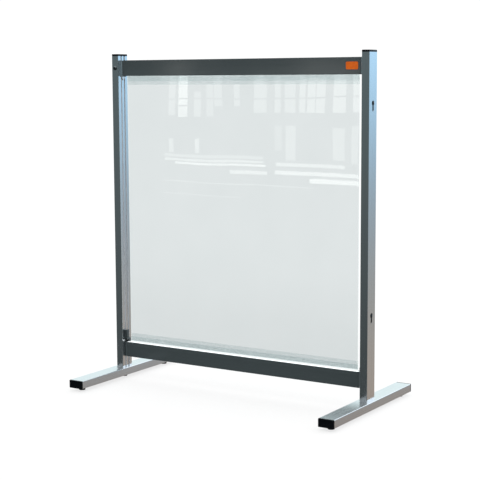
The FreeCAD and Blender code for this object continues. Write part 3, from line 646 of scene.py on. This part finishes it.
def deepen_low_down(finish, full_height, deepest):
    """Makes the sheet a little deeper towards its foot, by a given amount."""
    tree = finish.node_tree
    through = next(node for node in tree.nodes if node.type == "BSDF_TRANSPARENT")
    plain = through.inputs["Color"].links[0].from_socket
    fade = tree.nodes.new("ShaderNodeMapRange")
    fade.interpolation_type = "SMOOTHSTEP"
    fade.inputs["From Min"].default_value = DEEPER_FROM_Z
    fade.inputs["From Max"].default_value = full_height
    fade.inputs["To Min"].default_value = deepest
    fade.inputs["To Max"].default_value = 1.0
    tree.links.new(object_parts(tree)["Z"], fade.inputs["Value"])
    scale = tree.nodes.new("ShaderNodeVectorMath")
    scale.operation = "SCALE"
    tree.links.new(plain, scale.inputs[0])
    tree.links.new(fade.outputs["Result"], scale.inputs["Scale"])
    tree.links.new(scale.outputs[0], through.inputs["Color"])


film_clear = clear_finish("film_clear", (0.868, 0.892, 0.893), (0.879, 0.902, 0.903),
                          0.12, (0.008, 0.02))
deepen_low_down(film_clear, full_height=0.40, deepest=0.965)
SIDE_BAND, PAST_SIDE = 0.0016, 0.001    # how far the glow runs in and out from the film's sides
film_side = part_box("clear_film")[1].x
add_edge_light(film_clear, "X", film_side - SIDE_BAND, film_side + PAST_SIDE, strength=0.45)
hem_clear = clear_finish("hem_clear", (0.932, 0.953, 0.955), (0.944, 0.965, 0.967),
                         0.05, (0.05, 0.12))
BELOW_LIP, ABOVE_LIP = 0.0005, 0.0028
lip_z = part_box("bottom_rail")[1].z
add_edge_light(hem_clear, "Z", lip_z - BELOW_LIP, lip_z + ABOVE_LIP, strength=0.75)
print("clear finishes:", film_clear.name, hem_clear.name)

# %% [markdown]
# ## Finishes on the CAD nodes
# Nodes whose CAD shape is right only need their finish. Each node's own slot in the record says
# what it is made of, and that picks the finish here.

# %% Dress the CAD nodes
FINISH_OF_SLOT = {
    "post_aluminium": post_metal, "rail_coating": rail_coat, "black_plastic": cap_plastic,
    "grey_plastic": grey_plastic, "lever_plastic": lever_plastic, "bright_steel": zinc_steel,
    "black_steel": black_zinc, "glide_rubber": glide_rubber, "clear_film": film_clear,
    "pocket_film": hem_clear, "badge_orange": badge_gloss,
}
slot_of_node = {part["node"]: part["material_slot"] for part in frame["record"]["subparts"]}


def wear(piece, finish):
    piece.data.materials.clear()
    piece.data.materials.append(finish)


for node, cad_object in frame["nodes"].items():
    wear(cad_object, FINISH_OF_SLOT[slot_of_node[node]])
for node in ("left_foot_bar", "right_foot_bar"):
    wear(frame["nodes"][node], foot_metal)
print("dressed", len(frame["nodes"]), "nodes")

# %% [markdown]
# ## Tools for modelling
# Operators act on whatever is selected, and the CAD nodes are selected after loading, so each
# piece starts by deselecting everything. Faces and edges are picked by where they are. A finished
# piece has its transform applied, which puts its origin at the centre of the scene, like a CAD
# node's.

# %% Modelling tools
MM = 0.001


def start_block(name, low, high):
    """A box between two corners in metres, left in edit mode with nothing selected."""
    bpy.ops.object.select_all(action="DESELECT")
    low, high = Vector(low), Vector(high)
    bpy.ops.mesh.primitive_cube_add(size=1.0, location=(low + high) / 2)
    piece = bpy.context.active_object
    piece.name = piece.data.name = name
    piece.scale = high - low
    bpy.ops.object.transform_apply(location=True, rotation=True, scale=True)
    bpy.ops.object.mode_set(mode="EDIT")
    bpy.ops.mesh.select_all(action="DESELECT")
    return piece


def start_disc(name, radius, start, end, sides):
    """An upright round bar, left in edit mode with nothing selected."""
    bpy.ops.object.select_all(action="DESELECT")
    start, end = Vector(start), Vector(end)
    bpy.ops.mesh.primitive_cylinder_add(vertices=sides, radius=radius, depth=(end - start).length,
                                        location=(start + end) / 2,
                                        rotation=(end - start).to_track_quat("Z", "Y").to_euler())
    piece = bpy.context.active_object
    piece.name = piece.data.name = name
    bpy.ops.object.transform_apply(location=True, rotation=True, scale=True)
    bpy.ops.object.mode_set(mode="EDIT")
    bpy.ops.mesh.select_all(action="DESELECT")
    return piece


def pick(piece, kind, test):
    """Selects the faces or edges of the piece in edit mode that pass a test."""
    bpy.ops.mesh.select_mode(type=kind)
    bpy.ops.mesh.select_all(action="DESELECT")
    shape = bmesh.from_edit_mesh(piece.data)
    chosen = [part for part in (shape.faces if kind == "FACE" else shape.edges) if test(part)]
    for part in chosen:
        part.select_set(True)
    shape.select_flush_mode()
    bmesh.update_edit_mesh(piece.data)
    return len(chosen)


def faces_towards(piece, direction):
    """Selects the faces that look one way."""
    aim = Vector(direction)
    return pick(piece, "FACE", lambda face: face.normal.dot(aim) > 0.99)


def edges_along(piece, axis, also=lambda middle: True):
    """Selects the straight edges that run along one axis."""
    def runs(edge):
        a, b = edge.verts[0].co, edge.verts[1].co
        return abs((b - a).normalized()[axis]) > 0.999 and also((a + b) / 2)
    return pick(piece, "EDGE", runs)


def apply_modifier(piece, kind, **settings):
    modifier = piece.modifiers.new(kind.lower(), kind)
    for key, value in settings.items():
        setattr(modifier, key, value)
    bpy.context.view_layer.objects.active = piece
    bpy.ops.object.modifier_apply(modifier=modifier.name)


def end_piece(piece, finish, soften=0.0, smooth_angle=40):
    """Leaves edit mode, rounds the remaining sharp edges, smooths, and gives the finish."""
    bpy.ops.mesh.select_all(action="SELECT")
    bpy.ops.mesh.normals_make_consistent(inside=False)
    bpy.ops.object.mode_set(mode="OBJECT")
    bpy.ops.object.select_all(action="DESELECT")
    piece.select_set(True)
    bpy.context.view_layer.objects.active = piece
    if soften:
        apply_modifier(piece, "BEVEL", width=soften, segments=2, limit_method="ANGLE",
                       angle_limit=math.radians(35), harden_normals=False)
    bpy.ops.object.shade_smooth_by_angle(angle=math.radians(smooth_angle))
    wear(piece, finish)
    return piece


def join_onto(piece, other):
    """Makes another shape part of the same piece."""
    bpy.ops.object.select_all(action="DESELECT")
    other.select_set(True)
    piece.select_set(True)
    bpy.context.view_layer.objects.active = piece
    bpy.ops.object.join()


def copy_turned(piece, name, matrix):
    """A copy with its own mesh, turned or mirrored about the middle of the screen."""
    twin = piece.copy()
    twin.data = piece.data.copy()
    twin.name = twin.data.name = name
    bpy.context.scene.collection.objects.link(twin)
    twin.data.transform(matrix)
    if matrix.determinant() < 0:
        twin.data.flip_normals()
    return twin


HALF_TURN = Matrix.Rotation(math.pi, 4, "Z")
FRONT_TO_BACK = Matrix.Scale(-1, 4, (0, 1, 0))
print("modelling tools ready")

# %% [markdown]
# ## Post caps
# A thin black cap closes each post. A moulded cap is never a flat slab: its rim is rounded and
# its top is slightly raised, so that it doesn't sink as it cools. A box is rounded at its four
# corners, its top is inset, and the inner part is lifted. Two plugs underneath hold it.

# %% Post caps
cap_low, cap_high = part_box("left_post_cap")
LID_THICK = 5 * MM
CAP_CROWN = 0.7 * MM
lid_low = (cap_low.x, cap_low.y, cap_high.z - LID_THICK)
lid_high = (cap_high.x, cap_high.y, cap_high.z - CAP_CROWN)
post_cap_left = start_block("post_cap_left", lid_low, lid_high)
edges_along(post_cap_left, 2)
bpy.ops.mesh.bevel(offset=1.5 * MM, segments=5, affect="EDGES")
faces_towards(post_cap_left, (0, 0, 1))
bpy.ops.mesh.inset(thickness=1.2 * MM)
bpy.ops.transform.translate(value=(0, 0, CAP_CROWN))
end_piece(post_cap_left, cap_plastic, soften=0.3 * MM)

PLUG_NEAR, PLUG_FAR = 6.4 * MM, 18.1 * MM       # either side of the screw port, along Y
PLUG_LEFT, PLUG_RIGHT = 1.9 * MM, 14.0 * MM     # from the cap's outer edge, along X
PLUG_HOLLOW = 12 * MM
plug_x = (cap_low.x + PLUG_LEFT, cap_low.x + PLUG_RIGHT)
for side in (-1, 1):
    near, far = sorted((side * PLUG_NEAR, side * PLUG_FAR))
    plug = start_block("plug", (plug_x[0], near, cap_low.z), (plug_x[1], far, lid_low[2]))
    faces_towards(plug, (0, 0, -1))
    bpy.ops.mesh.inset(thickness=1.5 * MM)
    bpy.ops.mesh.extrude_region_move(TRANSFORM_OT_translate={"value": (0, 0, PLUG_HOLLOW)})
    end_piece(plug, cap_plastic, soften=0.2 * MM)
    join_onto(post_cap_left, plug)

post_cap_right = copy_turned(post_cap_left, "post_cap_right", HALF_TURN)
for side, cap in (("left", post_cap_left), ("right", post_cap_right)):
    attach(cap, "frame")
    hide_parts(f"{side}_post_cap")
print("post caps", [len(cap.data.polygons) for cap in (post_cap_left, post_cap_right)], "faces")

# %% [markdown]
# ## Foot caps
# The open ends of both feet are closed in the same way. The lid's face is set in a little behind
# its rim, and the plug behind it is hollow, as a moulding of even wall is.

# %% Foot caps
foot_low, foot_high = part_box("left_foot_front_cap")
FACE_THICK = 4 * MM
RIM = 0.35 * MM
PLUG_INSET, PLUG_DEPTH, PLUG_WALL = 1.8 * MM, 10 * MM, 1.5 * MM
face_back = foot_low.y + FACE_THICK
foot_cap = start_block("foot_cap_left_front", foot_low, (foot_high.x, face_back, foot_high.z))
edges_along(foot_cap, 1)
bpy.ops.mesh.bevel(offset=1.5 * MM, segments=5, affect="EDGES")
faces_towards(foot_cap, (0, -1, 0))
bpy.ops.mesh.inset(thickness=0.9 * MM)
bpy.ops.mesh.inset(thickness=0.3 * MM)
bpy.ops.transform.translate(value=(0, RIM, 0))
end_piece(foot_cap, cap_plastic, soften=0.3 * MM)

foot_plug = start_block("plug", (foot_low.x + PLUG_INSET, face_back, foot_low.z + PLUG_INSET),
                        (foot_high.x - PLUG_INSET, foot_high.y, foot_high.z - PLUG_INSET))
faces_towards(foot_plug, (0, 1, 0))
bpy.ops.mesh.inset(thickness=PLUG_WALL)
bpy.ops.mesh.extrude_region_move(TRANSFORM_OT_translate={"value": (0, -PLUG_DEPTH, 0)})
end_piece(foot_plug, cap_plastic, soften=0.2 * MM)
join_onto(foot_cap, foot_plug)

foot_caps = {
    "left_foot_front_cap": foot_cap,
    "left_foot_rear_cap": copy_turned(foot_cap, "foot_cap_left_rear", FRONT_TO_BACK),
    "right_foot_rear_cap": copy_turned(foot_cap, "foot_cap_right_rear", HALF_TURN),
    "right_foot_front_cap": copy_turned(foot_cap, "foot_cap_right_front",
                                        HALF_TURN @ FRONT_TO_BACK),
}
for node, cap in foot_caps.items():
    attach(cap, "frame")
    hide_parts(node)
print("foot caps", len(foot_caps))

# %% [markdown]
# ## Glides
# A glide is turned by hand to level the screen, so its side is given grip flutes. A round bar's
# every other side face is pushed inwards, its rims are rounded, and its top is dished round the
# stud.

# %% Glides
GLIDE_SIDES = 48
FLUTE = 0.45 * MM
DISH = 0.8 * MM
pad_low, pad_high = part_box("glide_pad_left_front")
pad_x, pad_y = (pad_low.x + pad_high.x) / 2, (pad_low.y + pad_high.y) / 2
pad_radius = (pad_high.x - pad_low.x) / 2
glide = start_disc("glide_left_front", pad_radius, (pad_x, pad_y, pad_low.z),
                   (pad_x, pad_y, pad_high.z), GLIDE_SIDES)
pick(glide, "FACE", lambda face: abs(face.normal.z) < 0.1)
bpy.ops.mesh.inset(thickness=1.0 * MM, use_individual=False)
bpy.ops.mesh.select_all(action="DESELECT")


def is_flute(face):
    middle = face.calc_center_median()
    if abs(face.normal.z) > 0.1 or abs(middle.z - (pad_low.z + pad_high.z) / 2) > 1 * MM:
        return False
    step = math.atan2(middle.y - pad_y, middle.x - pad_x) / (2 * math.pi / GLIDE_SIDES)
    return math.floor(step) % 2 == 0


flutes = pick(glide, "FACE", is_flute)
bpy.ops.mesh.inset(thickness=0.2 * MM, depth=-FLUTE, use_individual=True)
faces_towards(glide, (0, 0, 1))
bpy.ops.mesh.inset(thickness=2.6 * MM)
bpy.ops.mesh.inset(thickness=0.6 * MM)
bpy.ops.transform.translate(value=(0, 0, -DISH))
faces_towards(glide, (0, 0, -1))
bpy.ops.mesh.inset(thickness=1.2 * MM)
bpy.ops.mesh.select_all(action="DESELECT")
end_piece(glide, glide_rubber, soften=0.2 * MM, smooth_angle=35)

glides = {
    "left_front": glide,
    "left_rear": copy_turned(glide, "glide_left_rear", FRONT_TO_BACK),
    "right_rear": copy_turned(glide, "glide_right_rear", HALF_TURN),
    "right_front": copy_turned(glide, "glide_right_front", HALF_TURN @ FRONT_TO_BACK),
}
for corner, pad in glides.items():
    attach(pad, f"glide_{corner}")
    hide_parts(f"glide_pad_{corner}")
print("glides", len(glides), "with", flutes, "flutes each")

# %% [markdown]
# ## Locking levers
# The lever is read as a small upright handle whose foot is a cam. A block the size of the CAD
# lever is rounded much more at its foot than at its top, which slopes down towards the post.
# Grooves across its front give a grip. They and the hole for the pin are cut by Boolean
# modifiers, each with a cutter that is thrown away afterwards.

# %% Locking levers
lever_low, lever_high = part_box("left_lock_lever")
pin_low, pin_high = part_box("left_lever_pin")
pin_x, pin_z = (pin_low.x + pin_high.x) / 2, (pin_low.z + pin_high.z) / 2
TOP_SLOPE = 2.2 * MM
HEEL_RADIUS, TOP_RADIUS = 3.2 * MM, 1.4 * MM
lever = start_block("lock_lever_left", lever_low, lever_high)
edges_along(lever, 1, lambda middle: middle.z > pin_z and middle.x < pin_x)
bpy.ops.transform.translate(value=(0, 0, -TOP_SLOPE))
edges_along(lever, 1, lambda middle: middle.z < pin_z)
bpy.ops.mesh.bevel(offset=HEEL_RADIUS, segments=7, affect="EDGES")
edges_along(lever, 1, lambda middle: middle.z > lever_high.z - TOP_SLOPE - 0.5 * MM)
bpy.ops.mesh.bevel(offset=TOP_RADIUS, segments=4, affect="EDGES")
end_piece(lever, lever_plastic)


def cut_away(piece, cutter):
    """Takes one shape out of another and removes the cutter."""
    bpy.ops.object.mode_set(mode="OBJECT")
    bpy.ops.object.select_all(action="DESELECT")
    piece.select_set(True)
    apply_modifier(piece, "BOOLEAN", operation="DIFFERENCE", object=cutter, solver="EXACT")
    bpy.data.objects.remove(cutter)


GRIP_LOW = pin_z + 5.5 * MM
GRIP_HIGH = lever_high.z - TOP_SLOPE - 3.0 * MM
GROOVE_PITCH = 2.9 * MM
GROOVE_SHARE = 0.68             # the share of the pitch that is groove
GROOVE_DEEP = 1.0 * MM
PIN_HOLE_RADIUS = 2.05 * MM
PAST = 1 * MM                   # how far a cutter stands out of the lever
groove_count = int((GRIP_HIGH - GRIP_LOW) / GROOVE_PITCH)
for step in range(groove_count):
    bottom = GRIP_LOW + step * GROOVE_PITCH
    groove = start_block("groove", (lever_low.x + 1.5 * MM, lever_low.y - PAST, bottom),
                         (lever_high.x - 1.1 * MM, lever_low.y + GROOVE_DEEP,
                          bottom + GROOVE_SHARE * GROOVE_PITCH))
    cut_away(lever, groove)
pin_hole = start_disc("pin_hole", PIN_HOLE_RADIUS, (pin_x, lever_low.y - PAST, pin_z),
                      (pin_x, lever_high.y + PAST, pin_z), 40)
cut_away(lever, pin_hole)
bpy.context.view_layer.objects.active = lever
bpy.ops.object.mode_set(mode="EDIT")
end_piece(lever, lever_plastic, soften=0.18 * MM)
lever_right = copy_turned(lever, "lock_lever_right", HALF_TURN)
for side, piece in (("left", lever), ("right", lever_right)):
    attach(piece, f"{side}_lever")
    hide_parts(f"{side}_lock_lever")
print("levers with", groove_count, "grooves each")

# %% [markdown]
# ## Lock screws
# A button-head screw holds the top rail's connector in each post. Its head is a low dome with a
# hexagonal socket. A short round bar is rounded strongly at its outer rim, and the socket is cut
# with a six-sided bar. The socket is always in shadow, so what lies deep in it is given the
# blackest finish.

# %% Lock screws
post_low, post_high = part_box("left_post")
screw_low, screw_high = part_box("top_lock_screws")
screw_x = (post_low.x + post_high.x) / 2
screw_z = (screw_low.z + screw_high.z) / 2
HEAD_RADIUS = (screw_high.z - screw_low.z) / 2
SCREW_RADIUS = 3.0 * MM
SCREW_LENGTH = 12.0 * MM
SOCKET_RADIUS = 2.31 * MM
SOCKET_DEEP = 2.1 * MM
DOME = 2.2 * MM
screw = start_disc("lock_screw_left", HEAD_RADIUS, (screw_x, screw_low.y, screw_z),
                   (screw_x, post_low.y, screw_z), 48)
pick(screw, "EDGE", lambda edge: max(vert.co.y for vert in edge.verts) < screw_low.y + 1e-5)
bpy.ops.mesh.bevel(offset=DOME, segments=6, affect="EDGES")
faces_towards(screw, (0, 1, 0))
bpy.ops.mesh.inset(thickness=HEAD_RADIUS - SCREW_RADIUS)
bpy.ops.mesh.extrude_region_move(TRANSFORM_OT_translate={"value": (0, SCREW_LENGTH, 0)})
end_piece(screw, screw_metal)
socket = start_disc("socket", SOCKET_RADIUS, (screw_x, screw_low.y - PAST, screw_z),
                    (screw_x, screw_low.y + SOCKET_DEEP, screw_z), 6)
cut_away(screw, socket)
bpy.context.view_layer.objects.active = screw
bpy.ops.object.mode_set(mode="EDIT")
end_piece(screw, screw_metal, soften=0.12 * MM)
screw_right = copy_turned(screw, "lock_screw_right", HALF_TURN)
SHADED_RADIUS, SHADED_FROM = 2.35 * MM, 0.5 * MM     # from the screw's axis and its face
for piece in (screw, screw_right):
    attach(piece, "frame")
    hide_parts("top_lock_screws")
    piece.data.materials.append(cap_plastic)
    for face in piece.data.polygons:
        off_axis = math.hypot(abs(face.center.x) - abs(screw_x), face.center.z - screw_z)
        deep = abs(face.center.y) < abs(screw_low.y) - SHADED_FROM
        if deep and off_axis < SHADED_RADIUS:
            face.material_index = 1
print("lock screws", len(screw.data.polygons), "faces each")

# %% [markdown]
# ## The plate on the rail
# A plain orange plate is stuck to the right end of the top rail. A soft rim stands round its
# field. The box's four corners are rounded, its face is inset, and the field is pushed back.

# %% Rail plate
PLATE_CORNER = 3.0 * MM
PLATE_RIM = 0.9 * MM
FIELD_BACK = 0.25 * MM
plate_low, plate_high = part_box("rail_badge")
plate = start_block("rail_plate", plate_low, plate_high)
edges_along(plate, 1)
bpy.ops.mesh.bevel(offset=PLATE_CORNER, segments=8, affect="EDGES")
faces_towards(plate, (0, -1, 0))
bpy.ops.mesh.inset(thickness=PLATE_RIM)
bpy.ops.mesh.inset(thickness=0.35 * MM)
bpy.ops.transform.translate(value=(0, FIELD_BACK, 0))
end_piece(plate, badge_gloss, soften=0.12 * MM)
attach(plate, "frame")
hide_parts("rail_badge")
print("rail plate", len(plate.data.polygons), "faces")

# %% [markdown]
# ## The film
# Clear sheet held only at its top and bottom is never quite flat. Long shallow waves run across
# it, a fraction of a millimetre deep, and bend the mirrored windows. A fine grid takes the waves,
# which fade out at the top and bottom, where the hems hold the sheet. Solidify gives it its
# thickness.

# %% Film
film_low, film_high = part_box("clear_film")
FILM_THICK = 0.6 * MM
WAVES = [
    # depth in metres, waves per metre across and up, and where the wave starts
    (0.00008, 0.9, 1.3, 0.4), (0.00004, 2.1, 1.7, 2.0), (0.000012, 4.3, 3.1, 4.1),
]
FLAT_END = 0.12         # the share of the height over which the waves fade out
COLUMNS, ROWS = 110, 114
film_width = film_high.x - film_low.x
film_height = film_high.z - film_low.z
bpy.ops.object.select_all(action="DESELECT")
bpy.ops.mesh.primitive_grid_add(x_subdivisions=COLUMNS, y_subdivisions=ROWS, size=1.0,
                                location=(0, 0, (film_low.z + film_high.z) / 2),
                                rotation=(math.radians(90), 0, 0))
film = bpy.context.active_object
film.name = film.data.name = "film_screen"
film.scale = (film_width, film_height, 1.0)
bpy.ops.object.transform_apply(location=True, rotation=True, scale=True)
points = np.empty(len(film.data.vertices) * 3)
film.data.vertices.foreach_get("co", points)
points = points.reshape(-1, 3)
height = (points[:, 2] - film_low.z) / film_height
held = np.clip(np.minimum(height, 1 - height) / FLAT_END, 0, 1)
held = held * held * (3 - 2 * held)
for depth, across, upward, phase in WAVES:
    wave = np.sin(2 * math.pi * (across * points[:, 0] + upward * points[:, 2]) + phase)
    points[:, 1] += depth * held * wave
film.data.vertices.foreach_set("co", points.ravel())
film.data.update()
apply_modifier(film, "SOLIDIFY", thickness=FILM_THICK, offset=0.0)
bpy.ops.object.shade_smooth_by_angle(angle=math.radians(40))
wear(film, film_clear)
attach(film, "frame")
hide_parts("clear_film")
print("film", round(film_width, 3), "x", round(film_height, 4), "m")

# %% [markdown]
# ## The film's hems
# Along its top and bottom a strip of the same sheet is folded round a batten and welded to both
# faces, with its rear leg longer than its front one. The fold starts as a circle of edges. The
# part between the legs is deleted, the two open ends are extruded to the ends of the legs, and
# the whole line is then extruded across the width.

# %% Hems
FRONT_LEG_SHORTER = 8.5 * MM
KNEE = 0.5 * MM


def make_hem(name, node, batten_node, upward):
    """A folded strip. upward is 1 where the fold is at the top, and -1 at the bottom."""
    low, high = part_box(node)
    batten_low, batten_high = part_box(batten_node)
    fold_z = (batten_low.z + batten_high.z) / 2
    fold_radius = (high.y - low.y) / 2 - FILM_THICK / 2
    leg_y = FILM_THICK
    rear_tip = low.z if upward > 0 else high.z
    front_tip = rear_tip + upward * FRONT_LEG_SHORTER
    bpy.ops.object.select_all(action="DESELECT")
    bpy.ops.mesh.primitive_circle_add(vertices=64, radius=fold_radius,
                                      location=(low.x, 0, fold_z),
                                      rotation=(0, math.radians(90), 0))
    hem = bpy.context.active_object
    hem.name = hem.data.name = name
    bpy.ops.object.transform_apply(location=True, rotation=True, scale=True)
    bpy.ops.object.mode_set(mode="EDIT")
    pick(hem, "EDGE", lambda edge: all(upward * (vert.co.z - fold_z) < 0
                                       and abs(vert.co.y) < 1.4 * leg_y for vert in edge.verts))
    bpy.ops.mesh.delete(type="EDGE")
    for sign, tip in ((1, rear_tip), (-1, front_tip)):
        shape = bmesh.from_edit_mesh(hem.data)
        ends = [vert for vert in shape.verts
                if len(vert.link_edges) == 1 and vert.co.y * sign > 0
                and upward * (vert.co.z - fold_z) < 0]
        bpy.ops.mesh.select_mode(type="VERT")
        bpy.ops.mesh.select_all(action="DESELECT")
        end = min(ends, key=lambda vert: abs(vert.co.y))
        end.select_set(True)
        bmesh.update_edit_mesh(hem.data)
        start = end.co.copy()
        knee = Vector((start.x, sign * leg_y, start.z - upward * KNEE))
        bpy.ops.mesh.extrude_vertices_move(TRANSFORM_OT_translate={"value": knee - start})
        run = (0, 0, tip - knee.z)
        bpy.ops.mesh.extrude_vertices_move(TRANSFORM_OT_translate={"value": run})
    bpy.ops.mesh.select_all(action="SELECT")
    bpy.ops.mesh.delete_loose(use_verts=True, use_edges=False, use_faces=False)
    bpy.ops.mesh.select_all(action="SELECT")
    bpy.ops.mesh.extrude_region_move(TRANSFORM_OT_translate={"value": (high.x - low.x, 0, 0)})
    bpy.ops.mesh.select_all(action="SELECT")
    bpy.ops.mesh.normals_make_consistent(inside=False)
    bpy.ops.object.mode_set(mode="OBJECT")
    apply_modifier(hem, "SOLIDIFY", thickness=FILM_THICK, offset=0.0, use_even_offset=True)
    bpy.ops.object.shade_smooth_by_angle(angle=math.radians(40))
    wear(hem, hem_clear)
    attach(hem, "frame")
    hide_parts(node)
    return hem


hem_top = make_hem("hem_top", "top_film_pocket", "top_batten", 1)
hem_bottom = make_hem("hem_bottom", "bottom_film_pocket", "bottom_batten", -1)
for piece in (film, hem_top, hem_bottom, frame["nodes"]["top_rail"],
              frame["nodes"]["bottom_rail"]):
    lit_by_windows.objects.link(piece)
print("hems", len(hem_top.data.polygons), len(hem_bottom.data.polygons), "faces")

# %% [markdown]
# ## The CAD box
# The corners of the CAD model's box are printed.

# %% CAD box
print("CAD box", [[round(value, 4) for value in corner] for corner in cad_box])
